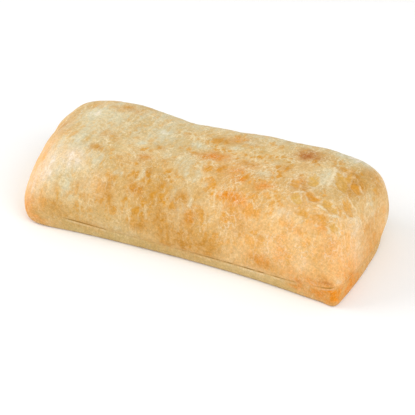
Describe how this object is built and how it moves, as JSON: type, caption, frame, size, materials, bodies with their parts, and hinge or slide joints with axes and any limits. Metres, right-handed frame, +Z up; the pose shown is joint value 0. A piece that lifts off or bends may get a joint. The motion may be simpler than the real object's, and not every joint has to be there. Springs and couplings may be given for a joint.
{
  "type": "ciabatta roll",
  "caption": "Whole ciabatta roll with a flour-dusted golden crust, a soft pillow shape and a crease above its flat foot.",
  "frame": {"origin": "middle of the flat underside, below the centre of the bounding box", "axes": "+X along the roll towards the end with the sharp foot corner, -Y towards the long side with the visible crease, +Z up from the underside"},
  "size_m": [0.1848, 0.0824, 0.0421],
  "materials": {
    "crust": "dry floured crust, matte"
  },
  "bodies": {
    "root": {"ciabatta_roll": "crust"}
  },
  "joints": []
}
